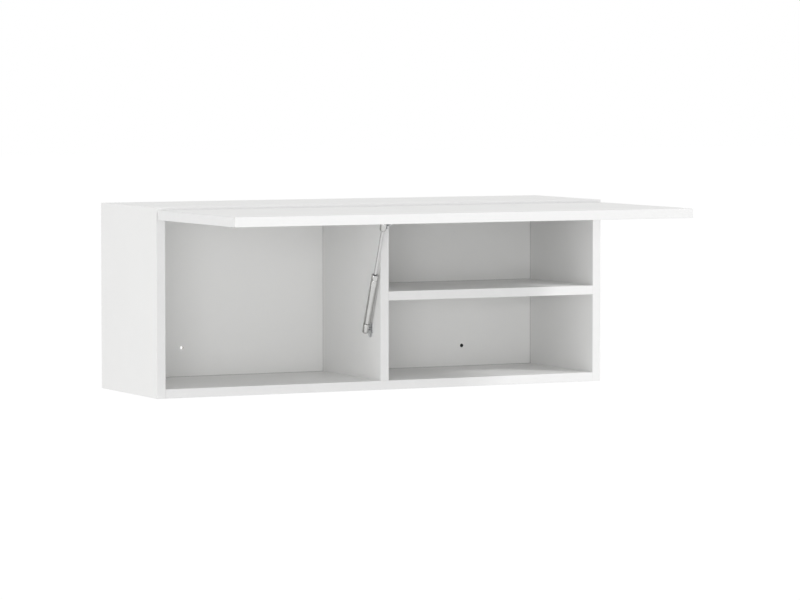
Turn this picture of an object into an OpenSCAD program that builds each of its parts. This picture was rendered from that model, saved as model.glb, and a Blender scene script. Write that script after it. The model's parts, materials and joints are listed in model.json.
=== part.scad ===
// Wall cabinet with a lift-up door, held open by one gas strut.
// The origin is midway between the two hanging slots, on the wall plane.
// +X runs to the right as seen from the front, +Y into the wall and +Z up.
// The door is drawn fully open. Each module works in cabinet coordinates:
// x from the left outer face, y back from the front edges, z up from the underside.

/* [Cabinet] */
// Overall width
body_w = 1000; // [800:10:1200]
// Overall height
body_h = 378; // [340:1:450]
// Depth of the carcass without its door
body_d = 290; // [260:5:350]
// Thickness of the chipboard panels
panel_t = 18.5; // [16:0.5:20]
// Centre of the divider, from the left outer face
divider_x = 500; // [400:5:600]
// Height of the shelf's underside
shelf_z = 181; // [140:1:220]
// Thickness of the edge banding
band_t = 1; // [0.4:0.1:2]
// Open line left between two neighbouring bands
band_line = 0.1; // [0.1:0.1:0.4]

/* [Back panel] */
// Thickness of the hardboard back
back_t = 3; // [2.5:0.5:6]
// Space between the back panel and the wall
back_recess = 13; // [12:1:25]
// How far the back panel reaches into its grooves
back_tongue = 6; // [4:0.5:8]
// Play of the back panel at the bottom and the rear of its grooves
groove_play = 0.1; // [0.05:0.05:0.4]
// Open line that the grooves leave in front of the back panel
groove_line = 0.4; // [0.1:0.1:1]
// Diameter of the two fixing holes in the back panel
fix_hole_d = 7; // [5:0.5:9]
// Left fixing hole, from the left outer face
left_hole_x = 170; // [140:5:200]
// Left fixing hole, above the underside
left_hole_z = 78; // [60:1:100]
// Right fixing hole, from the left outer face
right_hole_x = 816; // [760:2:860]
// Right fixing hole, above the underside
right_hole_z = 62; // [50:1:100]

/* [Door] */
// Thickness of the door
door_t = 19; // [18:0.5:22]
// Reveal round the closed door at top and bottom
door_reveal = 2; // [1.5:0.1:3]
// Reveal of the door at the left and right
door_side_gap = 1; // [0.5:0.5:3]
// Gap between the closed door and the front edges
door_gap = 2; // [1.8:0.1:3]
// Step from the top of the cabinet down to the open door
door_step = 5.5; // [4:0.5:6]
// Distance of the open door's hinge edge from the front edges
door_standoff = 5; // [4:0.5:7]
// Diameter of the soft door pads
pad_d = 8; // [6:1:12]
// Thickness of the soft door pads
pad_t = 1.5; // [1:0.1:1.7]
// Centre of a door pad from the door's free edge
pad_inset = 34; // [12:1:60]

/* [Cam fittings] */
// Diameter of a cam housing
cam_d = 15; // [12:1:15]
// Depth of a cam housing
cam_depth = 12.5; // [11:0.5:13]
// Centre of a cam from the panel's end
cam_inset = 34; // [24:2:40]
// Diameter of a cam bolt's shank
bolt_d = 6; // [5:0.5:7]
// Diameter of a cam bolt's thread
bolt_thread_d = 5; // [4:0.5:5]
// Length of a cam bolt's thread
bolt_thread_l = 11; // [8:1:12]
// Diameter of a dowel
dowel_d = 8; // [6:1:8]
// Length of a dowel
dowel_l = 30; // [24:2:35]
// Depth of a dowel in the panel that it meets
dowel_seat = 11; // [8:1:12]
// First cam from the front edges
cam_front = 50; // [40:5:70]
// Last cam from the wall plane
cam_rear = 60; // [50:5:80]
// Distance between a cam and its dowel
dowel_step = 32; // [24:8:40]
// Radial play of pins, screws and dowels in their seats
seat_play = 0.05; // [0.02:0.01:0.1]

/* [Hangers] */
// Slots below the top of the cabinet
hanger_drop = 45; // [40:5:60]
// Slot centres from the outer faces
hanger_inset = 50; // [45:1:60]
// Width of a slot
slot_w = 8; // [6:0.5:10]
// Length of a slot, end to end
slot_l = 24; // [18:1:30]
// Thickness of the hanger's steel
hanger_t = 2; // [1.5:0.5:3]
// Height of a hanger
hanger_h = 44; // [36:2:60]
// Distance between the two screws of a hanger
hanger_screw_pitch = 28; // [20:2:36]

/* [Hinges] */
// Centre of each hinge from the outer face
hinge_inset = 192; // [80:5:220]
// Diameter of the hinge cup
cup_d = 35; // [30:1:35]
// Depth of the hinge cup in the door
cup_depth = 12.5; // [11:0.5:13]
// Wall of the hinge cup
cup_wall = 1; // [0.8:0.1:1.5]
// Distance of the cup's rim from the door's hinge edge
cup_edge = 5; // [4:0.5:6]
// Thickness of the cup's flange
flange_t = 1; // [0.8:0.1:1.2]
// Cup pin from the door's hinge edge
cup_pin_inset = 10.5; // [10:0.5:11]
// Cup pin below the door's inner face
cup_pin_depth = 3; // [2.5:0.5:4]
// Arm pin below the top panel
arm_pin_drop = 19; // [17:0.5:21]
// Diameter of the hinge pins
hinge_pin_d = 2.6; // [2:0.1:3]
// Width of the hinge link
link_w = 8; // [6:0.5:10]
// Thickness of the hinge link between its knuckles
link_t = 3; // [2:0.5:3.5]
// Thickness of the hinge arm's steel
arm_t = 1.6; // [1.2:0.1:2]
// Length of the hinge arm behind the front edges
arm_l = 62; // [55:1:70]
// Plate screws from the front edges
plate_screw_y = 37; // [34:1:40]
// Distance between the two screws of a plate
plate_screw_pitch = 32; // [26:1:36]

/* [Gas strut] */
// Ball centres left of the divider
ball_offset = 11; // [10.5:0.5:14]
// Lower ball behind the front edges
foot_y = 46; // [30:1:60]
// Lower ball above the underside
foot_z = 122; // [110:1:140]
// Upper ball from the door's hinge edge
head_s = 30; // [28:1:34]
// Upper ball below the door's inner face
head_drop = 21; // [20:0.5:26]
// Diameter of the balls
ball_d = 10; // [8:0.5:10]
// Diameter of the end fittings that hold the balls
socket_d = 14; // [13:0.5:15]
// Diameter of the strut's tube
tube_d = 14; // [13.5:0.5:15]
// Wall of the tube
tube_wall = 0.8; // [0.6:0.1:1]
// Length of the tube
tube_l = 107.5; // [90:0.5:115]
// Diameter of the rod
rod_d = 6; // [5:0.1:6.2]
// Length of rod inside the tube with the door open
rod_inside = 24; // [20:1:40]
// Thickness of the strut's steel brackets
bracket_t = 2; // [1.5:0.5:2]

/* [Hidden] */
$fn = 48;

// Small overlap that makes cuts run past a face
past = 1;
hanger_z = body_h - hanger_drop;
inner_right = body_w - panel_t;
inner_w = body_w - 2 * panel_t;
inner_h = body_h - 2 * panel_t;
core_d = body_d - band_t;
divider_left = divider_x - panel_t / 2;
divider_right = divider_x + panel_t / 2;
back_y = body_d - back_recess - back_t;
// Depth of the divider and shelf behind their edge bands
inside_d = back_y - groove_play - band_t;
top_z = body_h - panel_t;

// Steel beyond a slot's end, and the hanger's play behind the back panel
hanger_end = 10;
leg_play = 0.5;

dowel_chamfer = 1;

// Cam bolt beyond its shank, and the cam that holds its head
bolt_channel_play = 0.5;
bolt_shank_gap = 1;
bolt_neck_d = 3;
bolt_head_l = 3;
bolt_short = 1;
bolt_tip = cam_inset - bolt_short;
cam_play = 0.3;
cam_pocket_l = 8;
cam_cross_l = 9;
cam_cross_w = 1.6;
cam_cross_depth = 1.2;

// Places of the cams and dowels along the depth
cam_ys = [cam_front, body_d - cam_rear];
dowel_ys = [cam_front + dowel_step, body_d - cam_rear - dowel_step];

// A joint is its place and its turn. Its +X enters the panel that holds the cam,
// and its +Z points to the face where the cam is turned.
function level_joints(left, right, z, ys) =
    [for (y = ys) each [[[left, y, z], [180, 0, 0]], [[right, y, z], [0, 180, 0]]]];
function upright_joints(x, ys) =
    [for (y = ys) each [[[x, y, panel_t], [0, -90, 180]], [[x, y, top_z], [0, 90, 0]]]];
function panel_joints(ys) = [
    level_joints(panel_t, inner_right, body_h - panel_t / 2, ys),
    level_joints(panel_t, inner_right, panel_t / 2, ys),
    upright_joints(divider_x, ys),
    level_joints(divider_right, inner_right, shelf_z + panel_t / 2, ys)
];
// Numbers of the joint groups
TOP = 0;
BOTTOM = 1;
UPRIGHT = 2;
SHELF = 3;
cam_joints = panel_joints(cam_ys);
dowel_joints = panel_joints(dowel_ys);

// Door, open: its hinge edge, inner face and length
door_y = -door_standoff;
door_z = body_h - door_step - door_t;
door_l = body_h - 2 * door_reveal;
door_w = body_w - 2 * door_side_gap;

// Hinge pins as [y, z]: the cup pin with the door open and closed, and the arm pin
// that lies equally far from both
cup_pin = [door_y - cup_pin_inset, door_z + cup_pin_depth];
cup_pin_shut = [-door_gap - cup_pin_depth, body_h - door_reveal - cup_pin_inset];
pin_chord = cup_pin_shut - cup_pin;
pin_mid = (cup_pin + cup_pin_shut) / 2;
arm_pin_z = top_z - arm_pin_drop;
arm_pin = [pin_mid[0] + (pin_mid[1] - arm_pin_z) * pin_chord[1] / pin_chord[0], arm_pin_z];
hinge_xs = [hinge_inset, body_w - hinge_inset];
cup_r = cup_d / 2;
cup_s = cup_edge + cup_r;
cup_y = door_y - cup_s;
// Knuckles of the link at the arm pin and at the cup pin
arm_knuckle_wall = 2.1;
cup_knuckle_wall = 1.5;
arm_knuckle_r = hinge_pin_d / 2 + arm_knuckle_wall;
cup_knuckle_r = hinge_pin_d / 2 + cup_knuckle_wall;
// The link dips below the door's inner face before it enters the cup
link_dip = 4;
link_elbow = [cup_pin[0], door_z - link_dip];
cheek_gap = 0.6;
cheek_x = link_w / 2 + cheek_gap;
nose_r = 4;
web_z = arm_pin_z - nose_r;
// Cup screws, from the cup's centre
cup_screw_x = 24;
cup_screw_s = 6;
flange_end_r = 6.5;
flange_ring = 1.5;
cup_round = 3;

// Mounting plate of a hinge
wing_t = 2;
wing_w = 18;
wing_end = 7;
plate_l = 38;
plate_y = arm_l - plate_l;
core_side_play = 0.4;
plate_core_w = 2 * (cheek_x - core_side_play);
// The arm's web lies on the core with this play
web_play = 0.3;
plate_core_z = web_z + arm_t + web_play;
arm_screw_front = 7;
arm_screw_rear = 9;
arm_screw_ys = [plate_y + arm_screw_front, arm_l - arm_screw_rear];
arm_screw_d = 3.6;
arm_screw_l = 10;
arm_hole_play = 0.2;
arm_head_d = 7;
arm_head_h = 1.6;
arm_cross_w = 1;
arm_cross_depth = 0.8;
// The arm's cheeks: their height, where the web starts and where they reach full height
cheek_h = 13;
web_start = 7;
cheek_full = 21;
pin_over = 0.4;

// Small screws
screw_d = 3.5;
screw_l = 13;
screw_head_d = 7;
screw_head_h = 2;
// Cross in a screw's head, its length as a share of the head
cross_share = 0.6;
cross_w = 0.9;
cross_cut = 1;

// Gas strut: ball centres as [y, z], length and lean
strut_x = divider_left - ball_offset;
foot = [foot_y, foot_z];
head = [door_y - head_s, door_z - head_drop];
strut_len = norm(head - foot);
strut_lean = atan2(foot[0] - head[0], head[1] - foot[1]);
tube_start = 11;
tube_end = tube_start + tube_l;
tube_floor = 3.5;
tube_round = 2.5;
// Rolled groove below the tube's mouth
groove_r = 1.2;
groove_depth = 0.5;
groove_drop = 11;
guide_l = 7;
guide_lip = 1.2;
// Side play that the guide and the piston leave round the rod's swing
strut_play = 2.35;
// An end fitting reaches this far past its ball, with rounded ends and one flat side
socket_end = 10;
socket_round = 5;
socket_flat = 5;
// The fitting's mouth is narrower than the ball by this much
mouth_grip = 1;
ball_play = 0.08;
stud_d = 4.4;
collar_d = 8;
collar_t = 1;
rivet_d = 5;
piston_l = 4;
// The rod ends inside the upper fitting, with this wall between it and the ball
seat_wall = 1;
rod_seat = ball_d / 2 + seat_wall;
// Bracket faces along X
foot_face = divider_left - bracket_t;
tab_x = foot_face - bracket_t;
tab_beyond = 30;
tab_front = head_s + tab_beyond;
tab_rear = 19;
// Lower edge of the tab below the door, its reach before the ball, and the ear for the ball
tab_drop = 19;
tab_toe = 18;
ear_r = 5;
base_w = 30;
base_screw_x = 9;
foot_plate_w = 22;
foot_plate_top = 12;
foot_plate_low = 18;
foot_tip_w = 14;
plate_round = 2.5;
foot_screw_up = 8;
foot_screw_down = 12;
foot_screw_zs = [foot_z + foot_screw_up, foot_z - foot_screw_down];
base_screw_end = 9;
head_screw_ys = [door_y - tab_rear - base_screw_end, door_y - tab_front + base_screw_end];

// Places everything that is drawn in cabinet coordinates
module in_cabinet() {
    translate([-body_w / 2, -body_d, -hanger_z]) children();
}

module place(joint) {
    translate(joint[0]) rotate(joint[1]) children();
}

// Extrudes a [y, z] profile along X, centred on its plane
module across(width) {
    rotate([90, 0, 90]) linear_extrude(width, center = true) children();
}

// Cylinder along X between two x values at a [y, z] point
module rod_x(point, from_x, to_x, diameter) {
    translate([from_x, point[0], point[1]]) rotate([0, 90, 0])
        cylinder(h = to_x - from_x, d = diameter);
}

// Straight bar of a [y, z] profile
module bar(from, to, width) {
    step = to - from;
    translate(from) rotate(atan2(step[1], step[0]))
        translate([0, -width / 2]) square([norm(step), width]);
}

// Flat rectangle from the origin, with the two corners at x = 0 rounded
module round_tab(width, length, radius) {
    translate([radius, 0]) square([width - radius, length]);
    translate([0, radius]) square([width, length - 2 * radius]);
    for (y = [radius, length - radius]) translate([radius, y]) circle(radius);
}

// Countersunk wood screw. Its head is flush with z = 0 and it points to -Z.
module wood_screw() {
    difference() {
        union() {
            translate([0, 0, -screw_head_h])
                cylinder(h = screw_head_h, d1 = screw_d, d2 = screw_head_d);
            translate([0, 0, -screw_l]) cylinder(h = screw_l - screw_head_h / 2, d = screw_d);
        }
        for (turn = [0, 90]) rotate(turn)
            cube([cross_share * screw_head_d, cross_w, 2 * cross_cut], center = true);
    }
}

// Seat of a wood screw
module screw_seat() {
    translate([0, 0, -screw_head_h]) cylinder(
        h = screw_head_h + seat_play, d1 = screw_d + 2 * seat_play,
        d2 = screw_head_d + 4 * seat_play);
    translate([0, 0, -screw_l - past])
        cylinder(h = screw_l + past, d = screw_d + 2 * seat_play);
}

// Bores of one cam: housing, bolt channel and thread hole
module cam_bore() {
    translate([cam_inset, 0, panel_t / 2 - cam_depth])
        cylinder(h = cam_depth + past, d = cam_d + 2 * seat_play);
    rotate([0, 90, 0]) cylinder(h = cam_inset, d = bolt_d + 2 * bolt_channel_play);
    translate([-bolt_thread_l - past, 0, 0]) rotate([0, 90, 0])
        cylinder(h = bolt_thread_l + 2 * past, d = bolt_thread_d + 2 * seat_play);
}

module dowel_bore() {
    translate([-dowel_seat - past, 0, 0]) rotate([0, 90, 0])
        cylinder(h = dowel_l + 2 * past, d = dowel_d + 2 * seat_play);
}

// All bores of the listed joint groups
module joint_bores(groups) {
    for (group = groups) {
        for (joint = cam_joints[group]) place(joint) cam_bore();
        for (joint = dowel_joints[group]) place(joint) dowel_bore();
    }
}

// The back panel, or its grooves with the play below, behind and in front of it
module back_sheet(play, line) {
    reach = back_tongue + play;
    translate([panel_t - reach, back_y - line, panel_t - reach])
        cube([inner_w + 2 * reach, line + back_t + play, inner_h + 2 * reach]);
}

module hanger_screw_places() {
    screw_y = (back_y + back_t + body_d) / 2;
    for (z = [-0.5, 0.5] * hanger_screw_pitch) {
        translate([panel_t + hanger_t, screw_y, hanger_z + z]) rotate([0, 90, 0]) children();
        translate([inner_right - hanger_t, screw_y, hanger_z + z])
            rotate([0, -90, 0]) children();
    }
}

module plate_screw_places() {
    for (x = hinge_xs, side = [-0.5, 0.5])
        translate([x + side * plate_screw_pitch, plate_screw_y, top_z - wing_t])
            rotate([180, 0, 0]) children();
}

module cup_screw_places() {
    for (x = hinge_xs, side = [-1, 1])
        translate([x + side * cup_screw_x, cup_y - cup_screw_s, door_z - flange_t])
            rotate([180, 0, 0]) children();
}

module head_screw_places() {
    for (y = head_screw_ys)
        translate([tab_x + bracket_t - base_w + base_screw_x, y, door_z - bracket_t])
            rotate([180, 0, 0]) children();
}

module foot_screw_places() {
    for (z = foot_screw_zs)
        translate([foot_face, foot_y, z]) rotate([0, -90, 0]) children();
}

// ---- Carcass panels ----

module left_side() {
    color("white") in_cabinet() difference() {
        translate([0, band_t, 0]) cube([panel_t, core_d, body_h]);
        joint_bores([TOP, BOTTOM]);
        back_sheet(groove_play, groove_line);
        hanger_screw_places() screw_seat();
    }
}

module right_side() {
    color("white") in_cabinet() difference() {
        translate([inner_right, band_t, 0]) cube([panel_t, core_d, body_h]);
        joint_bores([TOP, BOTTOM, SHELF]);
        back_sheet(groove_play, groove_line);
        hanger_screw_places() screw_seat();
    }
}

module top_panel() {
    color("white") in_cabinet() difference() {
        translate([panel_t, band_t, top_z]) cube([inner_w, core_d, panel_t]);
        joint_bores([TOP, UPRIGHT]);
        back_sheet(groove_play, groove_line);
        plate_screw_places() screw_seat();
    }
}

module bottom_panel() {
    color("white") in_cabinet() difference() {
        translate([panel_t, band_t, 0]) cube([inner_w, core_d, panel_t]);
        joint_bores([BOTTOM, UPRIGHT]);
        back_sheet(groove_play, groove_line);
    }
}

module divider() {
    color("white") in_cabinet() difference() {
        translate([divider_left, band_t, panel_t]) cube([panel_t, inside_d, inner_h]);
        joint_bores([UPRIGHT, SHELF]);
        foot_screw_places() screw_seat();
    }
}

module shelf() {
    color("white") in_cabinet() difference() {
        translate([divider_right, band_t, shelf_z])
            cube([inner_right - divider_right, inside_d, panel_t]);
        joint_bores([SHELF]);
    }
}

module back_panel() {
    color("gainsboro") in_cabinet() difference() {
        back_sheet(0, 0);
        for (hole = [[left_hole_x, left_hole_z], [right_hole_x, right_hole_z]])
            translate([hole[0], back_y - past, hole[1]]) rotate([-90, 0, 0])
                cylinder(h = back_t + 2 * past, d = fix_hole_d);
    }
}

// Plastic edging, glued on the front edges of the six boards
module carcass_edging() {
    width = panel_t;
    color("whitesmoke") in_cabinet() {
        for (x = [0, inner_right]) translate([x, 0, 0]) cube([width, band_t, body_h]);
        for (z = [0, top_z]) translate([panel_t + band_line, 0, z])
            cube([inner_w - 2 * band_line, band_t, width]);
        translate([divider_left, 0, panel_t + band_line])
            cube([width, band_t, inner_h - 2 * band_line]);
        translate([divider_right + band_line, 0, shelf_z])
            cube([inner_right - divider_right - 2 * band_line, band_t, width]);
    }
}

// ---- Joinery ----

// Pin along +Z with a chamfer at both ends
module chamfered_pin(length, diameter, chamfer) {
    tip = diameter - 2 * chamfer;
    cylinder(h = chamfer, d1 = tip, d2 = diameter);
    translate([0, 0, chamfer]) cylinder(h = length - 2 * chamfer, d = diameter);
    translate([0, 0, length - chamfer]) cylinder(h = chamfer, d1 = diameter, d2 = tip);
}

module dowels() {
    color("burlywood") in_cabinet() for (group = dowel_joints, joint = group)
        place(joint) translate([-dowel_seat, 0, 0]) rotate([0, 90, 0])
            chamfered_pin(dowel_l, dowel_d, dowel_chamfer);
}

// Bolt with a thread in one panel and a head that the cam pulls
module cam_bolts() {
    color("silver") in_cabinet() for (group = cam_joints, joint = group)
        place(joint) rotate([0, 90, 0]) {
            translate([0, 0, -bolt_thread_l]) cylinder(h = bolt_thread_l, d = bolt_thread_d);
            cylinder(h = cam_inset - cam_d / 2 - bolt_shank_gap, d = bolt_d);
            cylinder(h = bolt_tip, d = bolt_neck_d);
            translate([0, 0, bolt_tip - bolt_head_l]) cylinder(h = bolt_head_l, d = bolt_d);
        }
}

// Round cam with a cross for the driver. It is open below: a wide pocket takes the
// bolt's head, and a narrower slot in front of it lets only the neck through.
module cam_housings() {
    axis_z = cam_depth - panel_t / 2;
    pocket_start = bolt_tip - bolt_head_l - cam_inset - cam_play;
    color("darkgray") in_cabinet() for (group = cam_joints, joint = group)
        place(joint) translate([cam_inset, 0, panel_t / 2 - cam_depth]) difference() {
            cylinder(h = cam_depth, d = cam_d);
            translate([pocket_start, -bolt_d / 2 - cam_play, -past])
                cube([cam_pocket_l, bolt_d + 2 * cam_play,
                    axis_z + bolt_d / 2 + cam_play + past]);
            translate([-cam_d, -bolt_neck_d / 2 - cam_play, -past])
                cube([cam_d + pocket_start + past, bolt_neck_d + 2 * cam_play,
                    axis_z + bolt_neck_d / 2 + cam_play + past]);
            for (turn = [0, 90]) translate([0, 0, cam_depth]) rotate(turn)
                cube([cam_cross_l, cam_cross_w, 2 * cam_cross_depth], center = true);
        }
}

// ---- Hanging hardware ----

// Angle in the space behind the back panel. Its slotted face lies on the wall.
module hanger() {
    reach = hanger_inset - panel_t;
    face_l = reach + slot_l / 2 + hanger_end;
    leg_y = back_y + back_t + leg_play;
    translate([panel_t, 0, hanger_z - hanger_h / 2]) difference() {
        union() {
            translate([0, body_d - hanger_t, 0]) cube([face_l, hanger_t, hanger_h]);
            translate([0, leg_y, 0]) cube([hanger_t, body_d - leg_y, hanger_h]);
        }
        for (x = [-0.5, 0.5] * (slot_l - slot_w))
            translate([reach + x, body_d + past, hanger_h / 2]) rotate([90, 0, 0])
                cylinder(h = hanger_t + 2 * past, d = slot_w);
        translate([reach - (slot_l - slot_w) / 2, body_d - hanger_t - past,
            (hanger_h - slot_w) / 2])
            cube([slot_l - slot_w, hanger_t + 2 * past, slot_w]);
    }
}

module left_hanger() {
    color("silver") in_cabinet() difference() {
        hanger();
        hanger_screw_places() screw_seat();
    }
}

module right_hanger() {
    color("silver") in_cabinet() difference() {
        translate([body_w, 0, 0]) mirror([1, 0, 0]) hanger();
        hanger_screw_places() screw_seat();
    }
}

module hanger_screws() {
    color("silver") in_cabinet() hanger_screw_places() wood_screw();
}

// Dark plug pressed into the right fixing hole from the front
module hole_plug() {
    head_over = 0.8;
    head_t = 0.6;
    color("black") in_cabinet() translate([right_hole_x, back_y, right_hole_z])
        rotate([-90, 0, 0]) {
            cylinder(h = back_t, d = fix_hole_d - 2 * seat_play);
            translate([0, 0, -head_t])
                cylinder(h = head_t, d1 = fix_hole_d - head_over, d2 = fix_hole_d + head_over);
        }
}

// ---- Hinges, cabinet side ----

module hinge_plate(x) {
    core = [plate_core_w, plate_l, top_z - wing_t - plate_core_z];
    translate([x, 0, 0]) difference() {
        union() {
            translate([-core[0] / 2, plate_y, plate_core_z]) cube(core + [0, 0, past]);
            translate([-wing_w / 2, plate_y, top_z - wing_t]) cube([wing_w, plate_l, wing_t]);
            for (side = [-0.5, 0.5])
                translate([side * plate_screw_pitch, plate_screw_y, top_z - wing_t])
                    cylinder(h = wing_t, r = wing_end);
            translate([-plate_screw_pitch / 2, plate_screw_y - wing_end, top_z - wing_t])
                cube([plate_screw_pitch, 2 * wing_end, wing_t]);
        }
        for (y = arm_screw_ys) translate([0, y, plate_core_z - past])
            cylinder(h = past + web_z + arm_screw_l - plate_core_z + seat_play,
                d = arm_screw_d + 2 * seat_play);
    }
}

module left_hinge_plate() {
    color("silver") in_cabinet() difference() {
        hinge_plate(hinge_xs[0]);
        plate_screw_places() screw_seat();
    }
}

module right_hinge_plate() {
    color("silver") in_cabinet() difference() {
        hinge_plate(hinge_xs[1]);
        plate_screw_places() screw_seat();
    }
}

// Channel with two cheeks that hold the arm pin at its nose. Its rear end is open
// for the screw that sets the depth.
module hinge_arm(x) {
    web_y = arm_pin[0] + web_start;
    translate([x, 0, 0]) {
        for (side = [-1, 1]) translate([side * (cheek_x + arm_t / 2), 0, 0]) across(arm_t)
            difference() {
                union() {
                    translate(arm_pin) circle(nose_r);
                    polygon([
                        [arm_pin[0], web_z], [arm_l, web_z], [arm_l, web_z + cheek_h],
                        [arm_pin[0] + cheek_full, web_z + cheek_h], [arm_pin[0], arm_pin[1] + nose_r]
                    ]);
                }
                translate(arm_pin) circle(d = hinge_pin_d + 2 * seat_play);
            }
        difference() {
            translate([-cheek_x - past / 2, web_y, web_z])
                cube([2 * cheek_x + past, arm_l - web_y, arm_t]);
            for (y = arm_screw_ys) translate([0, y, web_z - past])
                cylinder(h = arm_t + 2 * past, d = arm_screw_d + 2 * arm_hole_play);
            translate([-arm_screw_d / 2 - arm_hole_play, arm_screw_ys[1], web_z - past])
                cube([arm_screw_d + 2 * arm_hole_play, arm_l, arm_t + 2 * past]);
        }
    }
}

module left_hinge_arm() {
    color("silver") in_cabinet() hinge_arm(hinge_xs[0]);
}

module right_hinge_arm() {
    color("silver") in_cabinet() hinge_arm(hinge_xs[1]);
}

module hinge_plate_screws() {
    color("silver") in_cabinet() plate_screw_places() wood_screw();
}

module hinge_arm_screws() {
    color("silver") in_cabinet() for (x = hinge_xs, y = arm_screw_ys)
        translate([x, y, web_z]) difference() {
            union() {
                translate([0, 0, -arm_head_h]) cylinder(h = arm_head_h, d = arm_head_d);
                cylinder(h = arm_screw_l, d = arm_screw_d);
            }
            for (turn = [0, 90]) translate([0, 0, -arm_head_h]) rotate(turn)
                cube([cross_share * arm_head_d, arm_cross_w, 2 * arm_cross_depth], center = true);
        }
}

module hinge_arm_pins() {
    reach = cheek_x + arm_t + pin_over;
    color("dimgray") in_cabinet() for (x = hinge_xs)
        rod_x(arm_pin, x - reach, x + reach, hinge_pin_d);
}

// ---- Hinges, moving side ----

// Cranked link: it passes under the door's edge and turns up into the cup
module hinge_link(x) {
    translate([x, 0, 0]) across(link_w) difference() {
        union() {
            translate(arm_pin) circle(arm_knuckle_r);
            bar(arm_pin, link_elbow, link_t);
            translate(link_elbow) circle(d = link_t);
            bar(link_elbow, cup_pin, link_t);
            translate(cup_pin) circle(cup_knuckle_r);
        }
        for (pin = [arm_pin, cup_pin]) translate(pin) circle(d = hinge_pin_d + 2 * seat_play);
    }
}

module left_hinge_link() {
    color("silver") in_cabinet() hinge_link(hinge_xs[0]);
}

module right_hinge_link() {
    color("silver") in_cabinet() hinge_link(hinge_xs[1]);
}

// Half profile of a drawn cup of the given radius, its floor rounded on the outside
module cup_profile(radius, height, round_r) {
    square([radius, height - round_r]);
    square([radius - round_r, height]);
    translate([radius - round_r, height - round_r]) intersection() {
        circle(round_r);
        square(round_r);
    }
}

module hinge_cup(x) {
    translate([x, cup_y, door_z]) {
        rotate_extrude() difference() {
            cup_profile(cup_r, cup_depth, cup_round);
            translate([0, -past])
                cup_profile(cup_r - cup_wall, cup_depth - cup_wall + past, cup_round - cup_wall);
        }
        translate([0, 0, -flange_t]) linear_extrude(flange_t) difference() {
            union() {
                circle(cup_r + flange_ring);
                for (side = [-1, 1]) translate([side * cup_screw_x, -cup_screw_s])
                    circle(flange_end_r);
                translate([-cup_screw_x, -cup_screw_s - flange_end_r])
                    square([2 * cup_screw_x, 2 * flange_end_r]);
            }
            circle(cup_r - cup_wall);
        }
    }
}

// Pins through the cups' walls. Their ends follow the round of the cup.
module cup_pins() {
    for (x = hinge_xs) intersection() {
        rod_x(cup_pin, x - cup_r, x + cup_r, hinge_pin_d);
        translate([x, cup_y, door_z]) cylinder(h = cup_depth, r = cup_r - seat_play);
    }
}

module cup_pin_bores() {
    for (x = hinge_xs) rod_x(cup_pin, x - cup_r, x + cup_r, hinge_pin_d + 2 * seat_play);
}

module left_hinge_cup() {
    color("silver") in_cabinet() difference() {
        hinge_cup(hinge_xs[0]);
        cup_pin_bores();
        cup_screw_places() screw_seat();
    }
}

module right_hinge_cup() {
    color("silver") in_cabinet() difference() {
        hinge_cup(hinge_xs[1]);
        cup_pin_bores();
        cup_screw_places() screw_seat();
    }
}

module hinge_cup_pins() {
    color("dimgray") in_cabinet() cup_pins();
}

module hinge_cup_screws() {
    color("silver") in_cabinet() cup_screw_places() wood_screw();
}

// ---- Door ----

module door_panel() {
    color("white") in_cabinet() difference() {
        translate([door_side_gap + band_t, door_y - door_l + band_t, door_z])
            cube([door_w - 2 * band_t, door_l - 2 * band_t, door_t]);
        for (x = hinge_xs) translate([x, cup_y, door_z - past])
            cylinder(h = cup_depth + past + seat_play, r = cup_r + seat_play);
        cup_screw_places() screw_seat();
        head_screw_places() screw_seat();
    }
}

// Edging round all four edges of the door
module door_edging() {
    color("whitesmoke") in_cabinet() translate([door_side_gap, door_y - door_l, door_z]) {
        for (y = [0, door_l - band_t]) translate([0, y, 0]) cube([door_w, band_t, door_t]);
        for (x = [0, door_w - band_t]) translate([x, band_t + band_line, 0])
            cube([band_t, door_l - 2 * (band_t + band_line), door_t]);
    }
}

// Soft domes that meet the front edges of the two sides
module door_pads() {
    dome_r = (pow(pad_d / 2, 2) + pow(pad_t, 2)) / (2 * pad_t);
    color("lightgray") in_cabinet() for (x = [panel_t / 2, body_w - panel_t / 2])
        translate([x, door_y - door_l + pad_inset, door_z]) intersection() {
            translate([0, 0, dome_r - pad_t]) sphere(dome_r);
            translate([0, 0, -pad_t]) cylinder(h = pad_t, d = pad_d);
        }
}

// ---- Gas strut ----

// Strut coordinates: the lower ball is the origin and +Z runs to the upper ball
module along_strut() {
    translate([strut_x, foot[0], foot[1]]) rotate([strut_lean, 0, 0]) children();
}

// Ball with a neck, a collar against the face at x = face, and a rivet through it
module ball_stud(point, face) {
    translate([strut_x, point[0], point[1]]) rotate([0, 90, 0]) sphere(d = ball_d);
    rod_x(point, strut_x, face, stud_d);
    rod_x(point, face - collar_t, face, collar_d);
    rod_x(point, face, face + bracket_t, rivet_d);
}

// Turned body round a ball, flat and open on the side of the stud. Its children are
// the half outline from z = 0 up; below the ball it ends in a rounded foot.
module ball_fitting() {
    difference() {
        rotate_extrude() {
            children();
            mirror([0, 1]) cup_profile(socket_d / 2, socket_end, socket_round);
        }
        translate([socket_flat, -socket_d, -2 * socket_d])
            cube([socket_d, 2 * socket_d, 4 * socket_d]);
        rotate([0, 90, 0]) {
            sphere(d = ball_d + 2 * ball_play);
            cylinder(h = socket_d, d = ball_d - mouth_grip);
        }
    }
}

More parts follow.
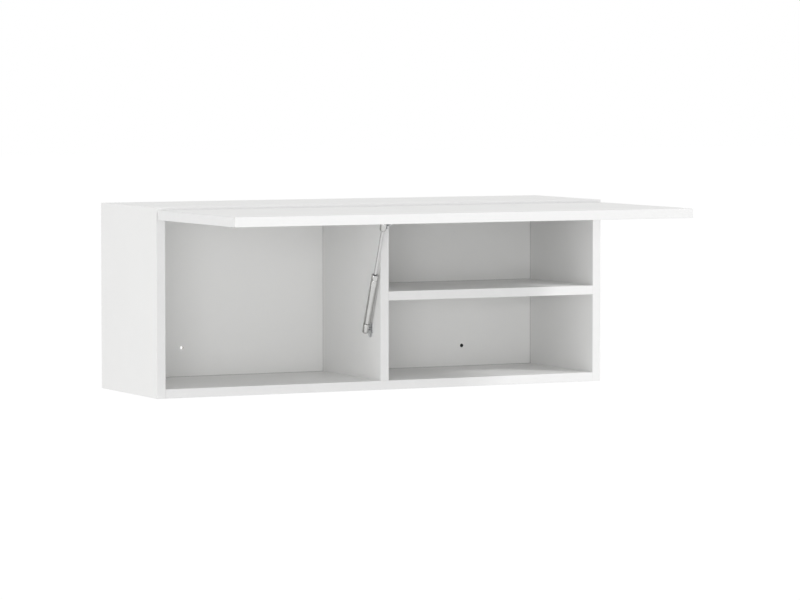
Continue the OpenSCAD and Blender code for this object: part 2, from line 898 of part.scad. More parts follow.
module strut_foot_plate() {
    half = foot_plate_w / 2;
    tip = foot_tip_w / 2;
    color("silver") in_cabinet() difference() {
        translate([foot_face + bracket_t / 2, foot_y, foot_z]) across(bracket_t) {
            translate([-half, foot_plate_top]) rotate(-90)
                round_tab(foot_plate_top + foot_plate_low / 2, foot_plate_w, plate_round);
            translate([-tip, tip - foot_plate_low]) square([2 * tip, foot_plate_low - tip]);
            translate([0, tip - foot_plate_low]) circle(tip);
        }
        rod_x(foot, foot_face - past, divider_left + past, rivet_d + 2 * seat_play);
        foot_screw_places() screw_seat();
    }
}

module strut_foot_stud() {
    color("silver") in_cabinet() ball_stud(foot, foot_face);
}

module strut_foot_screws() {
    color("silver") in_cabinet() foot_screw_places() wood_screw();
}

module strut_foot_socket() {
    color("gray") in_cabinet() along_strut() ball_fitting()
        square([socket_d / 2, tube_start]);
}

// Drawn tube with a rounded foot, and a rolled groove that holds the guide
module strut_tube() {
    color("silver") in_cabinet() along_strut() rotate_extrude() difference() {
        translate([0, tube_end]) mirror([0, 1]) cup_profile(tube_d / 2, tube_l, tube_round);
        translate([0, tube_start + tube_floor])
            square([tube_d / 2 - tube_wall, tube_l]);
        translate([tube_d / 2 + groove_r - groove_depth, tube_end - groove_drop])
            circle(groove_r);
    }
}

// Guide in the mouth of the tube, with a lip over the tube's end
module strut_guide() {
    color("dimgray") in_cabinet() along_strut() difference() {
        union() {
            translate([0, 0, tube_end - guide_l])
                cylinder(h = guide_l, d = tube_d - 2 * (tube_wall + seat_play));
            translate([0, 0, tube_end]) cylinder(h = guide_lip, d = tube_d);
        }
        translate([0, 0, tube_end - guide_l - past])
            cylinder(h = guide_l + guide_lip + 2 * past, d = rod_d + 2 * strut_play);
    }
}

module strut_rod() {
    start = tube_end - rod_inside;
    color("gainsboro") in_cabinet() along_strut() translate([0, 0, start])
        cylinder(h = strut_len - rod_seat - start, d = rod_d);
}

module strut_piston() {
    top = tube_end - rod_inside;
    color("dimgray") in_cabinet() along_strut() translate([0, 0, top - piston_l])
        cylinder(h = piston_l, d = tube_d - 2 * (tube_wall + strut_play));
}

module strut_head_socket() {
    color("gray") in_cabinet() along_strut() translate([0, 0, strut_len]) difference() {
        ball_fitting() cup_profile(socket_d / 2, socket_end, socket_round);
        translate([0, 0, -socket_end - past])
            cylinder(h = socket_end + past - rod_seat, d = rod_d + 2 * seat_play);
    }
}

// Angle on the door: a base plate with a tab that carries the upper ball
module strut_head_bracket() {
    tab_l = tab_front - tab_rear;
    color("silver") in_cabinet() difference() {
        union() {
            translate([tab_x + bracket_t - base_w, door_y - tab_front, door_z - bracket_t])
                linear_extrude(bracket_t) round_tab(base_w, tab_l, plate_round);
            translate([tab_x + bracket_t / 2, 0, 0]) across(bracket_t) union() {
                polygon([
                    [door_y - tab_front, door_z - bracket_t / 2],
                    [door_y - tab_rear, door_z - bracket_t / 2],
                    [door_y - tab_rear, door_z - tab_drop],
                    [head[0] + ear_r, head[1]], [head[0] - ear_r, head[1]],
                    [head[0] - ear_r, door_z - tab_drop], [head[0] - tab_toe, door_z - tab_drop]
                ]);
                translate(head) circle(ear_r);
            }
        }
        rod_x(head, tab_x - past, foot_face + past, rivet_d + 2 * seat_play);
        head_screw_places() screw_seat();
    }
}

module strut_head_stud() {
    color("silver") in_cabinet() ball_stud(head, tab_x);
}

module strut_head_screws() {
    color("silver") in_cabinet() head_screw_places() wood_screw();
}

left_side();
right_side();
top_panel();
bottom_panel();
divider();
shelf();
back_panel();
carcass_edging();
dowels();
cam_bolts();
cam_housings();
left_hanger();
right_hanger();
hanger_screws();
hole_plug();
left_hinge_plate();
right_hinge_plate();
left_hinge_arm();
right_hinge_arm();
hinge_plate_screws();
hinge_arm_screws();
hinge_arm_pins();
left_hinge_link();
right_hinge_link();
door_panel();
door_edging();
left_hinge_cup();
right_hinge_cup();
hinge_cup_pins();
hinge_cup_screws();
door_pads();
strut_foot_plate();
strut_foot_stud();
strut_foot_screws();
strut_foot_socket();
strut_tube();
strut_guide();
strut_rod();
strut_piston();
strut_head_socket();
strut_head_bracket();
strut_head_stud();
strut_head_screws();
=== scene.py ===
import json
import math
import bmesh
import bpy
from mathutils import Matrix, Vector

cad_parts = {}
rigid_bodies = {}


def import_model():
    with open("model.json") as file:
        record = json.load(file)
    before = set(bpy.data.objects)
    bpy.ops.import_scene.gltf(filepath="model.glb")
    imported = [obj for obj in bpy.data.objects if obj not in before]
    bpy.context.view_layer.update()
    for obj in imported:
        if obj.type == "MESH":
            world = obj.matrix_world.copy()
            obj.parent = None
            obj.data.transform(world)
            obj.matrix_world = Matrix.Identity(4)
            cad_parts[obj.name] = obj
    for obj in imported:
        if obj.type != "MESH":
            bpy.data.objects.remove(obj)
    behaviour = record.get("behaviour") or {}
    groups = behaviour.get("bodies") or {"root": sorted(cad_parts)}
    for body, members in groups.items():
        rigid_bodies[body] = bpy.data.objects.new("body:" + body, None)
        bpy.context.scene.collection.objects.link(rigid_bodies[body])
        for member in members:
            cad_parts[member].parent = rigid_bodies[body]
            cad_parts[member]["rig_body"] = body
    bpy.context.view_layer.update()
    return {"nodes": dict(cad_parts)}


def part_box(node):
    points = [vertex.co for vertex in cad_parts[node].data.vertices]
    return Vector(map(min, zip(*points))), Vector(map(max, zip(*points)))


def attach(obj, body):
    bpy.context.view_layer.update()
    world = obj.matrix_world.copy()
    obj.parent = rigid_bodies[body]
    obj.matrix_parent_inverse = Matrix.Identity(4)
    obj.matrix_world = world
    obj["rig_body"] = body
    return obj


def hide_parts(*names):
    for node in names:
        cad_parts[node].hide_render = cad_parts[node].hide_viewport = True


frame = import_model()
nodes = frame["nodes"]

# ---- Carcass boards ----
# Six boards of 18.5 mm chipboard, faced on both sides with white melamine that is
# pressed to a fine pearl texture. Their sawn rear edges and bores stay raw.
BOARD_WHITE = (0.845, 0.845, 0.838, 1)
BOARD_SPECULAR = 0.3
WHITE_VARIES = 0.006
PEARL_ROUGHNESS = (0.55, 0.65)
CLOUDS_PER_METRE = 9
PEARLS_PER_METRE = 1100
PEARL_HEIGHT = 0.0002
RAW_LIGHT = (0.50, 0.36, 0.21, 1)
RAW_DARK = (0.22, 0.14, 0.07, 1)
RAW_ROUGHNESS = 0.9
CHIPS_PER_METRE = 420
CHIP_STRETCH = (0.5, 0.5, 1.6)
FACE_SKIN = 0.00015
NO_LIMIT = 10


def new_group(name, inputs, outputs):
    group = bpy.data.node_groups.new(name, "ShaderNodeTree")
    for kind, title in inputs:
        group.interface.new_socket(title, in_out="INPUT", socket_type=kind)
    for kind, title in outputs:
        group.interface.new_socket(title, in_out="OUTPUT", socket_type=kind)
    return group, group.nodes.new("NodeGroupInput"), group.nodes.new("NodeGroupOutput")


def new_finish(name):
    finish = bpy.data.materials.new(name)
    finish.use_nodes = True
    tree = finish.node_tree
    return finish, tree, tree.nodes["Principled BSDF"], tree.nodes.new("ShaderNodeTexCoord")


def add(tree, kind, **settings):
    node = tree.nodes.new(kind)
    for key, value in settings.items():
        setattr(node, key, value)
    return node


def noise(tree, per_metre, detail=2):
    node = add(tree, "ShaderNodeTexNoise")
    node.inputs["Scale"].default_value = per_metre
    node.inputs["Detail"].default_value = detail
    return node


def ramp(tree, low, high, start=0.35, end=0.65):
    node = add(tree, "ShaderNodeValToRGB")
    for stop, position, colour in zip(node.color_ramp.elements, (start, end), (low, high)):
        stop.position = position
        stop.color = colour
    return node


def tint(tree, colour, amount):
    """A ramp from a little darker than the colour to a little lighter."""
    red_green_blue = colour[:3]
    low = tuple(c * (1 - amount) for c in red_green_blue) + (1,)
    high = tuple(min(1, c * (1 + amount)) for c in red_green_blue) + (1,)
    return ramp(tree, low, high)


def spread(tree, low, high):
    node = add(tree, "ShaderNodeMapRange")
    node.inputs["To Min"].default_value = low
    node.inputs["To Max"].default_value = high
    return node


def relief(tree, strength, height):
    node = add(tree, "ShaderNodeBump")
    node.inputs["Strength"].default_value = strength
    node.inputs["Distance"].default_value = height
    return node


def wire(tree, *links):
    for source, target in links:
        tree.links.new(source, target)


def dress(names, finish):
    """Gives CAD nodes that keep their own shape a better material."""
    for name in names:
        for used in nodes[name].material_slots:
            used.material = finish


# Melamine: slow mottling in the white and a fine pressed pearl in the surface
pearl, pearl_in, pearl_out = new_group(
    "melamine_pearl", [("NodeSocketVector", "Place")],
    [("NodeSocketColor", "Colour"), ("NodeSocketFloat", "Gloss"), ("NodeSocketFloat", "Relief")])
cloud = noise(pearl, CLOUDS_PER_METRE, detail=3)
grains = noise(pearl, PEARLS_PER_METRE)
whites = tint(pearl, BOARD_WHITE, WHITE_VARIES)
shine = spread(pearl, *PEARL_ROUGHNESS)
wire(pearl,
     (pearl_in.outputs["Place"], cloud.inputs["Vector"]),
     (pearl_in.outputs["Place"], grains.inputs["Vector"]),
     (cloud.outputs["Fac"], whites.inputs["Fac"]),
     (cloud.outputs["Fac"], shine.inputs["Value"]),
     (whites.outputs["Color"], pearl_out.inputs["Colour"]),
     (shine.outputs["Result"], pearl_out.inputs["Gloss"]),
     (grains.outputs["Fac"], pearl_out.inputs["Relief"]))

# Raw chipboard: flat chips of wood in every shade, as a saw leaves them
chips, chips_in, chips_out = new_group(
    "raw_chips", [("NodeSocketVector", "Place")],
    [("NodeSocketColor", "Colour"), ("NodeSocketFloat", "Relief")])
cells = add(chips, "ShaderNodeTexVoronoi")
cells.inputs["Scale"].default_value = CHIPS_PER_METRE
stretch = add(chips, "ShaderNodeMapping")
stretch.inputs["Scale"].default_value = CHIP_STRETCH
shades = ramp(chips, RAW_DARK, RAW_LIGHT, start=0.1, end=0.75)
wire(chips,
     (chips_in.outputs["Place"], stretch.inputs["Vector"]),
     (stretch.outputs["Vector"], cells.inputs["Vector"]),
     (cells.outputs["Color"], shades.inputs["Fac"]),
     (shades.outputs["Color"], chips_out.inputs["Colour"]),
     (cells.outputs["Distance"], chips_out.inputs["Relief"]))

# 1 inside a box, short of its faces by the facing's skin
boxed, boxed_in, boxed_out = new_group(
    "inside_a_box",
    [("NodeSocketVector", "Place"), ("NodeSocketVector", "Middle"), ("NodeSocketVector", "Half")],
    [("NodeSocketFloat", "Inside")])
away = add(boxed, "ShaderNodeVectorMath", operation="SUBTRACT")
size = add(boxed, "ShaderNodeVectorMath", operation="ABSOLUTE")
past_face = add(boxed, "ShaderNodeVectorMath", operation="SUBTRACT")
parts = add(boxed, "ShaderNodeSeparateXYZ")
most_xy = add(boxed, "ShaderNodeMath", operation="MAXIMUM")
most = add(boxed, "ShaderNodeMath", operation="MAXIMUM")
inside = add(boxed, "ShaderNodeMath", operation="LESS_THAN")
inside.inputs[1].default_value = -FACE_SKIN
wire(boxed,
     (boxed_in.outputs["Place"], away.inputs[0]),
     (boxed_in.outputs["Middle"], away.inputs[1]),
     (away.outputs["Vector"], size.inputs[0]),
     (size.outputs["Vector"], past_face.inputs[0]),
     (boxed_in.outputs["Half"], past_face.inputs[1]),
     (past_face.outputs["Vector"], parts.inputs["Vector"]),
     (parts.outputs["X"], most_xy.inputs[0]),
     (parts.outputs["Y"], most_xy.inputs[1]),
     (most_xy.outputs["Value"], most.inputs[0]),
     (parts.outputs["Z"], most.inputs[1]),
     (most.outputs["Value"], inside.inputs[0]),
     (inside.outputs["Value"], boxed_out.inputs["Inside"]))


def board_finish(name, faced):
    """Melamine on the board's faces along the faced axes, raw chipboard elsewhere."""
    low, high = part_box(name)
    finish, tree, shader, coords = new_finish(name + "_board")
    shader.inputs["Specular IOR Level"].default_value = BOARD_SPECULAR
    face = add(tree, "ShaderNodeGroup", node_tree=pearl)
    raw = add(tree, "ShaderNodeGroup", node_tree=chips)
    where = add(tree, "ShaderNodeGroup", node_tree=boxed)
    where.inputs["Middle"].default_value = (low + high) / 2
    where.inputs["Half"].default_value = [
        (high[i] - low[i]) / 2 if "XYZ"[i] in faced else NO_LIMIT for i in range(3)]
    colour = add(tree, "ShaderNodeMix", data_type="RGBA")
    gloss = add(tree, "ShaderNodeMix")
    gloss.inputs["B"].default_value = RAW_ROUGHNESS
    texture = add(tree, "ShaderNodeMix")
    bump = relief(tree, strength=0.12, height=PEARL_HEIGHT)
    for group in (face, raw, where):
        tree.links.new(coords.outputs["Object"], group.inputs["Place"])
    for mix in (colour, gloss, texture):
        tree.links.new(where.outputs["Inside"], mix.inputs[0])
    wire(tree,
         (face.outputs["Colour"], colour.inputs[6]),
         (raw.outputs["Colour"], colour.inputs[7]),
         (face.outputs["Gloss"], gloss.inputs["A"]),
         (face.outputs["Relief"], texture.inputs["A"]),
         (raw.outputs["Relief"], texture.inputs["B"]),
         (colour.outputs[2], shader.inputs["Base Color"]),
         (gloss.outputs["Result"], shader.inputs["Roughness"]),
         (texture.outputs["Result"], bump.inputs["Height"]),
         (bump.outputs["Normal"], shader.inputs["Normal"]))
    return finish


for board, faced in (("left_side", "XZ"), ("right_side", "XZ"), ("top_panel", "Z"),
                     ("bottom_panel", "Z"), ("divider", "X"), ("shelf", "Z")):
    dress([board], board_finish(board, faced))

# ---- Front edging of the carcass ----
# Strips of 1 mm white plastic, hot-glued on the front edges of the six boards and
# trimmed flush. A scraper has taken off their long arrises.
EDGING_WHITE = (0.81, 0.81, 0.807, 1)
EDGING_VARIES = 0.005
EDGING_ROUGHNESS = 0.55
EDGING_SPECULAR = 0.3
MOTTLES_PER_METRE = 60
PORES_PER_METRE = 2400
PORE_DEPTH = 0.0001
ARRIS = 0.0006
SAME_POINT = 0.000002
SAME_PLANE = math.radians(0.5)
SMOOTH_UP_TO = math.radians(35)
SHORTEST_LONG_EDGE = 0.05
ON_THE_FACE = 0.0001


def soft_copy(name, width, chosen, smooth=False):
    """Stands in for a CAD node: its flat faces made whole and its chosen edges rounded."""
    mesh = bmesh.new()
    mesh.from_mesh(nodes[name].data)
    bmesh.ops.remove_doubles(mesh, verts=mesh.verts, dist=SAME_POINT)
    bmesh.ops.dissolve_limit(mesh, angle_limit=SAME_PLANE, verts=mesh.verts, edges=mesh.edges)
    edges = [e for e in mesh.edges if len(e.link_faces) == 2 and chosen(e)]
    bmesh.ops.bevel(mesh, geom=edges, offset=width, offset_type="OFFSET", segments=2,
                    profile=0.5, affect="EDGES", clamp_overlap=True, material=-1)
    data = bpy.data.meshes.new(name + "_made")
    mesh.to_mesh(data)
    mesh.free()
    if smooth:
        data.shade_smooth()
        data.set_sharp_from_angle(angle=SMOOTH_UP_TO)
    piece = bpy.data.objects.new(name + "_made", data)
    bpy.context.scene.collection.objects.link(piece)
    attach(piece, nodes[name]["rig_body"])
    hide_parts(name)
    return piece


def long_edge(edge, axes):
    run = edge.verts[0].co - edge.verts[1].co
    return run.length > SHORTEST_LONG_EDGE and max(range(3), key=lambda i: abs(run[i])) in axes


plastic, tree, shader, coords = new_finish("white_plastic_edging")
shader.inputs["Roughness"].default_value = EDGING_ROUGHNESS
shader.inputs["Specular IOR Level"].default_value = EDGING_SPECULAR
mottle = noise(tree, MOTTLES_PER_METRE)
pores = noise(tree, PORES_PER_METRE)
whites = tint(tree, EDGING_WHITE, EDGING_VARIES)
bump = relief(tree, strength=0.06, height=PORE_DEPTH)
wire(tree,
     (coords.outputs["Object"], mottle.inputs["Vector"]),
     (coords.outputs["Object"], pores.inputs["Vector"]),
     (mottle.outputs["Fac"], whites.inputs["Fac"]),
     (whites.outputs["Color"], shader.inputs["Base Color"]),
     (pores.outputs["Fac"], bump.inputs["Height"]),
     (bump.outputs["Normal"], shader.inputs["Normal"]))

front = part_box("carcass_edging")[0].y
carcass_bands = soft_copy("carcass_edging", ARRIS, lambda e: long_edge(e, (0, 2)) and all(
    v.co.y < front + ON_THE_FACE for v in e.verts))
carcass_bands.data.materials.append(plastic)

# ---- Back panel ----
# One sheet of 3 mm hardboard in grooves. Its front is lacquered white, and its rear
# is the bare brown board. Where it enters the grooves, a thin dark line of painted
# shade stands in for the shadow in the gap.
BACK_WHITE = (0.875, 0.875, 0.866, 1)
LACQUER_ROUGHNESS = 0.55
LACQUER_SKIN = 0.0003
HARDBOARD = (0.26, 0.16, 0.085, 1)
HARDBOARD_VARIES = 0.25
FIBRES_PER_METRE = 700
FIBRE_HEIGHT = 0.0002
# Colour and width of the painted shade line along the grooves, standing in for the shadow in the
# gap
PAINTED_GROOVE_SHADE = (0.06, 0.055, 0.05, 1)
PAINTED_SHADE_WIDTH = 0.0005

lacquer, tree, shader, coords = new_finish("lacquered_hardboard")
shader.inputs["Roughness"].default_value = LACQUER_ROUGHNESS
place = add(tree, "ShaderNodeSeparateXYZ")
behind = add(tree, "ShaderNodeMath", operation="GREATER_THAN")
behind.inputs[1].default_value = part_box("back_panel")[0].y + LACQUER_SKIN
fibres = noise(tree, FIBRES_PER_METRE, detail=4)
whites = tint(tree, BACK_WHITE, WHITE_VARIES)
browns = tint(tree, HARDBOARD, HARDBOARD_VARIES)
# Painted shade: a dark line along each compartment's edges stands in for the shadow where the
# sheet enters its grooves
front_colour = add(tree, "ShaderNodeMix", data_type="RGBA")
front_colour.inputs[6].default_value = PAINTED_GROOVE_SHADE
colour = add(tree, "ShaderNodeMix", data_type="RGBA")
bump = relief(tree, strength=0.1, height=FIBRE_HEIGHT)

# 1 on the part of the sheet that stands clear of the grooves, in any compartment; the
# half-millimetre band left outside it gets the painted groove shade
clear = None
for left, right, below, above in (
        ("left_side", "divider", "bottom_panel", "top_panel"),
        ("divider", "right_side", "shelf", "top_panel"),
        ("divider", "right_side", "bottom_panel", "shelf")):
    start = Vector((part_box(left)[1].x, 0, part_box(below)[1].z))
    end = Vector((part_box(right)[0].x, 0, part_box(above)[0].z))
    half = (end - start) / 2
    opening = add(tree, "ShaderNodeGroup", node_tree=boxed)
    opening.inputs["Middle"].default_value = (start + end) / 2
    opening.inputs["Half"].default_value = (half.x - PAINTED_SHADE_WIDTH, NO_LIMIT, half.z - PAINTED_SHADE_WIDTH)
    either = add(tree, "ShaderNodeMath", operation="MAXIMUM")
    wire(tree,
         (coords.outputs["Object"], opening.inputs["Place"]),
         (opening.outputs["Inside"], either.inputs[0]))
    if clear:
        tree.links.new(clear, either.inputs[1])
    clear = either.outputs["Value"]

wire(tree,
     (coords.outputs["Object"], fibres.inputs["Vector"]),
     (fibres.outputs["Fac"], whites.inputs["Fac"]),
     (fibres.outputs["Fac"], browns.inputs["Fac"]),
     (clear, front_colour.inputs[0]),
     (whites.outputs["Color"], front_colour.inputs[7]),
     (coords.outputs["Object"], place.inputs["Vector"]),
     (place.outputs["Y"], behind.inputs[0]),
     (behind.outputs["Value"], colour.inputs[0]),
     (front_colour.outputs[2], colour.inputs[6]),
     (browns.outputs["Color"], colour.inputs[7]),
     (colour.outputs[2], shader.inputs["Base Color"]),
     (fibres.outputs["Fac"], bump.inputs["Height"]),
     (bump.outputs["Normal"], shader.inputs["Normal"]))
dress(["back_panel"], lacquer)

# ---- Dowels ----
# Plain round beech pins, glued into both boards of each joint. The grain runs along
# the pin.
BEECH_DARK = (0.42, 0.25, 0.12, 1)
BEECH_LIGHT = (0.62, 0.43, 0.25, 1)
BEECH_ROUGHNESS = 0.7
GRAIN_PER_METRE = 300
GRAIN_STRETCH = (0.15, 1, 1)

beech, tree, shader, coords = new_finish("beech")
shader.inputs["Roughness"].default_value = BEECH_ROUGHNESS
grain = noise(tree, GRAIN_PER_METRE, detail=5)
along_pin = add(tree, "ShaderNodeMapping")
along_pin.inputs["Scale"].default_value = GRAIN_STRETCH
woods = ramp(tree, BEECH_DARK, BEECH_LIGHT)
wire(tree,
     (coords.outputs["Object"], along_pin.inputs["Vector"]),
     (along_pin.outputs["Vector"], grain.inputs["Vector"]),
     (grain.outputs["Fac"], woods.inputs["Fac"]),
     (woods.outputs["Color"], shader.inputs["Base Color"]))
dress(["dowels"], beech)

# ---- Cam bolts and screws ----
# Turned and cold-headed steel, plated with bright zinc. The plating is blotchy at
# the scale of a few millimetres and faintly drawn in the surface.
GLOSS_VARIES = 0.15
DRAWN_PER_METRE = 3000
DRAWN_HEIGHT = 0.0001


def metal_finish(name, colour, roughness, blotches_per_metre, blotch, drawn):
    finish, tree, shader, coords = new_finish(name)
    shader.inputs["Metallic"].default_value = 1
    blotches = noise(tree, blotches_per_metre, detail=4)
    shades = tint(tree, colour, blotch)
    gloss = spread(tree, roughness * (1 - GLOSS_VARIES), roughness * (1 + GLOSS_VARIES))
    fine = noise(tree, DRAWN_PER_METRE)
    bump = relief(tree, strength=drawn, height=DRAWN_HEIGHT)
    wire(tree,
         (coords.outputs["Object"], blotches.inputs["Vector"]),
         (coords.outputs["Object"], fine.inputs["Vector"]),
         (blotches.outputs["Fac"], shades.inputs["Fac"]),
         (blotches.outputs["Fac"], gloss.inputs["Value"]),
         (shades.outputs["Color"], shader.inputs["Base Color"]),
         (gloss.outputs["Result"], shader.inputs["Roughness"]),
         (fine.outputs["Fac"], bump.inputs["Height"]),
         (bump.outputs["Normal"], shader.inputs["Normal"]))
    return finish


zinc = metal_finish("bright_zinc", colour=(0.60, 0.61, 0.62, 1), roughness=0.3,
                    blotches_per_metre=160, blotch=0.08, drawn=0.05)
dress(["cam_bolts", "hanger_screws", "hinge_plate_screws", "hinge_arm_screws",
       "hinge_cup_screws", "strut_foot_screws", "strut_head_screws"], zinc)

# ---- Cam housings ----
# Zinc die castings in blind bores, on faces that are turned away from the room.
# Casting leaves them greyer and rougher than the plated bolts.
cast = metal_finish("die_cast_zinc", colour=(0.42, 0.42, 0.43, 1), roughness=0.45,
                    blotches_per_metre=420, blotch=0.12, drawn=0.15)
dress(["cam_housings"], cast)

# ---- Hangers ----
# Two bent steel angles behind the back panel, each with a slot for a wall hook.
# Their sheared edges are rolled over slightly by the press.
SHEET_ARRIS = 0.00035
SHARP_FROM = math.radians(40)


def sharp(edge):
    return edge.is_manifold and edge.calc_face_angle(0) > SHARP_FROM


for name in ("left_hanger", "right_hanger"):
    hanger = soft_copy(name, SHEET_ARRIS, sharp)
    hanger.data.materials.append(zinc)

# ---- Hole plug ----
# A dark moulded plug that closes the right fixing hole from the front.
# Its thin rim lies on the back panel.
PLUG_DARK = (0.012, 0.012, 0.013, 1)
MOULDED_ROUGHNESS = 0.5
MOULDED_SPECULAR = 0.2
MOULDED_VARIES = 0.2
SPECKS_PER_METRE = 1500
SPECK_HEIGHT = 0.0001


def moulded_plastic(name, colour):
    finish, tree, shader, coords = new_finish(name)
    shader.inputs["Roughness"].default_value = MOULDED_ROUGHNESS
    shader.inputs["Specular IOR Level"].default_value = MOULDED_SPECULAR
    specks = noise(tree, SPECKS_PER_METRE)
    shades = tint(tree, colour, MOULDED_VARIES)
    bump = relief(tree, strength=0.08, height=SPECK_HEIGHT)
    wire(tree,
         (coords.outputs["Object"], specks.inputs["Vector"]),
         (specks.outputs["Fac"], shades.inputs["Fac"]),
         (specks.outputs["Fac"], bump.inputs["Height"]),
         (shades.outputs["Color"], shader.inputs["Base Color"]),
         (bump.outputs["Normal"], shader.inputs["Normal"]))
    return finish


dress(["hole_plug"], moulded_plastic("dark_plug_plastic", PLUG_DARK))

# ---- Hinges ----
# Concealed hinges of nickel-plated pressed steel: a plate and an arm under the top
# board, a cranked link, and a deep-drawn cup let into the door.
nickel = metal_finish("satin_nickel", colour=(0.66, 0.655, 0.64, 1), roughness=0.28,
                      blotches_per_metre=120, blotch=0.05, drawn=0.06)
for side in ("left", "right"):
    for part in ("plate", "arm", "link", "cup"):
        piece = soft_copy(f"{side}_hinge_{part}", SHEET_ARRIS, sharp, smooth=True)
        piece.data.materials.append(nickel)
pin_steel = metal_finish("hinge_pin_steel", colour=(0.45, 0.45, 0.46, 1), roughness=0.22,
                         blotches_per_metre=200, blotch=0.05, drawn=0.03)
dress(["hinge_arm_pins", "hinge_cup_pins"], pin_steel)

# ---- Door ----
# One plain board of the same faced chipboard, hinged at its upper edge and lifted
# level. Edging covers all four edges, so no raw board shows.
dress(["door_panel"], board_finish("door_panel", "Z"))
door_low, door_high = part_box("door_edging")


def on_outline(edge):
    for axis in (0, 1):
        for side in (door_low[axis], door_high[axis]):
            if all(abs(v.co[axis] - side) < ON_THE_FACE for v in edge.verts):
                return long_edge(edge, (1 - axis,))
    return False


door_bands = soft_copy("door_edging", ARRIS, on_outline)
door_bands.data.materials.append(plastic)

# ---- Door pads ----
# Two clear soft domes, stuck inside the door where it meets the carcass sides.
# They are cast polyurethane, slightly milky, and let some light through.
PAD_TINT = (0.86, 0.87, 0.87, 1)
PAD_VARIES = 0.03
PAD_ROUGHNESS = 0.18
PAD_CLEAR = 0.25
POLYURETHANE_IOR = 1.45
HAZE_PER_METRE = 500

rubber, tree, shader, coords = new_finish("clear_soft_pad")
shader.inputs["Roughness"].default_value = PAD_ROUGHNESS
shader.inputs["Transmission Weight"].default_value = PAD_CLEAR
shader.inputs["IOR"].default_value = POLYURETHANE_IOR
haze = noise(tree, HAZE_PER_METRE)
pales = tint(tree, PAD_TINT, PAD_VARIES)
wire(tree,
     (coords.outputs["Object"], haze.inputs["Vector"]),
     (haze.outputs["Fac"], pales.inputs["Fac"]),
     (pales.outputs["Color"], shader.inputs["Base Color"]))
dress(["door_pads"], rubber)

# ---- Gas strut ----
# A steel tube with a chromed rod, snapped on two ball studs by bright end fittings.
# Its foot plate is screwed to the divider and its head bracket to the door.
SEAL_GREY = (0.55, 0.55, 0.555, 1)
strut_steel = metal_finish("satin_strut_steel", colour=(0.58, 0.58, 0.57, 1), roughness=0.16,
                           blotches_per_metre=90, blotch=0.03, drawn=0.02)
fitting_zinc = metal_finish("nickel_plated_zinc", colour=(0.58, 0.58, 0.57, 1), roughness=0.14,
                            blotches_per_metre=220, blotch=0.04, drawn=0.03)
for name, finish, slot in (
        ("strut_tube", strut_steel, "strut_steel"),
        ("strut_foot_socket", fitting_zinc, "cast_zinc"),
        ("strut_head_socket", fitting_zinc, "cast_zinc"),
        ("strut_foot_plate", zinc, "zinc_steel"),
        ("strut_head_bracket", zinc, "zinc_steel")):
    piece = soft_copy(name, SHEET_ARRIS, sharp, smooth=True)
    piece.data.materials.append(finish)
dress(["strut_foot_stud", "strut_head_stud"], pin_steel)
chrome = metal_finish("hard_chrome", colour=(0.60, 0.60, 0.60, 1), roughness=0.06,
                      blotches_per_metre=200, blotch=0.01, drawn=0.0)
dress(["strut_rod"], chrome)
dress(["strut_guide", "strut_piston"], moulded_plastic("grey_seal_plastic", SEAL_GREY))

# ---- Room ----
# A pale floor far below the wall-hung cabinet, and plain soft studio light: an even
# white surround, a key lamp from the right, the front and above, and three weaker
# lamps from the left and the front.
FLOOR_Z = -1.45
FLOOR_HALF_WIDTH = 60
FLOOR_PALE = (0.8, 0.8, 0.8, 1)
FLOOR_ROUGHNESS = 0.9
FLOOR_WHITE = 0.92
FLOOR_GLOW = 1.05
SURROUND = 0.635


def direct_view(tree):
    """1 for rays from the camera, also by way of a mirror or glass."""
    path = add(tree, "ShaderNodeLightPath")
    mirrored = add(tree, "ShaderNodeMath", operation="MAXIMUM")
    any_of_them = add(tree, "ShaderNodeMath", operation="MAXIMUM")
    wire(tree,
         (path.outputs["Is Glossy Ray"], mirrored.inputs[0]),
         (path.outputs["Is Transmission Ray"], mirrored.inputs[1]),
         (path.outputs["Is Camera Ray"], any_of_them.inputs[0]),
         (mirrored.outputs["Value"], any_of_them.inputs[1]))
    return any_of_them.outputs["Value"]


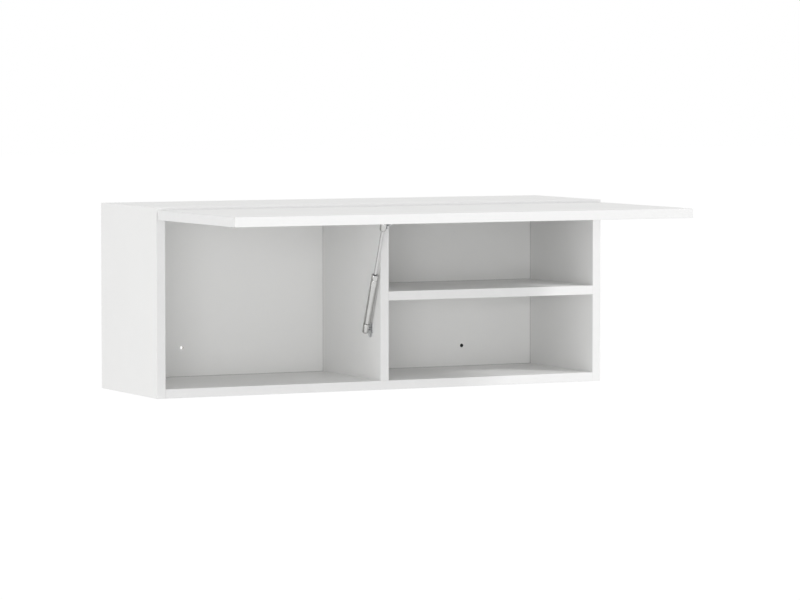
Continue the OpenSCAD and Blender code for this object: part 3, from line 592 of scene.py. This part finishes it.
floor_mesh = bmesh.new()
bmesh.ops.create_grid(floor_mesh, x_segments=1, y_segments=1, size=FLOOR_HALF_WIDTH)
bmesh.ops.translate(floor_mesh, verts=floor_mesh.verts, vec=(0, 0, FLOOR_Z))
floor_data = bpy.data.meshes.new("floor")
floor_mesh.to_mesh(floor_data)
floor_mesh.free()
floor = bpy.data.objects.new("floor", floor_data)
bpy.context.scene.collection.objects.link(floor)
pale, tree, shader, coords = new_finish("pale_floor")
shader.inputs["Base Color"].default_value = FLOOR_PALE
shader.inputs["Roughness"].default_value = FLOOR_ROUGHNESS
white = add(tree, "ShaderNodeEmission")
white.inputs["Strength"].default_value = FLOOR_GLOW
seen = add(tree, "ShaderNodeMath", operation="MULTIPLY")
seen.inputs[1].default_value = FLOOR_WHITE
blend = add(tree, "ShaderNodeMixShader")
wire(tree,
     (direct_view(tree), seen.inputs[0]),
     (seen.outputs["Value"], blend.inputs[0]),
     (shader.outputs["BSDF"], blend.inputs[1]),
     (white.outputs["Emission"], blend.inputs[2]),
     (blend.outputs["Shader"], tree.nodes["Material Output"].inputs["Surface"]))
floor.data.materials.append(pale)

world = bpy.data.worlds.new("studio")
bpy.context.scene.world = world
world.use_nodes = True
tree = world.node_tree
ambient = tree.nodes["Background"]
ambient.inputs["Color"].default_value = (1, 1, 1, 1)
level = spread(tree, SURROUND, 1)
wire(tree,
     (direct_view(tree), level.inputs["Value"]),
     (level.outputs["Result"], ambient.inputs["Strength"]))


def soft_box(name, place, aim, size, power):
    lamp = bpy.data.lights.new(name, "AREA")
    lamp.shape = "SQUARE"
    lamp.size = size
    lamp.energy = power
    stand = bpy.data.objects.new(name, lamp)
    stand.location = place
    stand.rotation_euler = (Vector(aim) - Vector(place)).to_track_quat("-Z", "Y").to_euler()
    bpy.context.scene.collection.objects.link(stand)


soft_box("key", place=(7.16, -8.65, 8.4), aim=(0.1, -0.25, 0), size=2.4, power=690)
soft_box("left", place=(-4.0, -0.8, 0.2), aim=(-0.4, -0.1, -0.1), size=2.5, power=34)
soft_box("front_left", place=(-7.2, -11.2, 0.2), aim=(0, 0, -0.15), size=3.0, power=200)
soft_box("front_low", place=(-1.0, -6.0, -0.4), aim=(0, 0, -0.15), size=3.0, power=30)

# ---- Camera ----
# A long lens, three-quarters from the left and a little above, as the picture was
# taken. The numbers come from fitting the cabinet's edges to the picture.
CAMERA_PLACE = (-3.52244, -7.48580, 0.34159)
CAMERA_DOWN = 0.0613668
CAMERA_TURN = -0.4590923
CAMERA_LENS = 178.307
FILM_WIDTH = 36
FURTHEST_SEEN = 200

lens = bpy.data.cameras.new("camera")
lens.sensor_width = FILM_WIDTH
lens.lens = CAMERA_LENS
lens.clip_end = FURTHEST_SEEN
camera = bpy.data.objects.new("camera", lens)
camera.location = CAMERA_PLACE
camera.rotation_euler = (math.pi / 2 - CAMERA_DOWN, 0, CAMERA_TURN)
bpy.context.scene.collection.objects.link(camera)
bpy.context.scene.camera = camera
bpy.context.scene.view_settings.view_transform = "Standard"
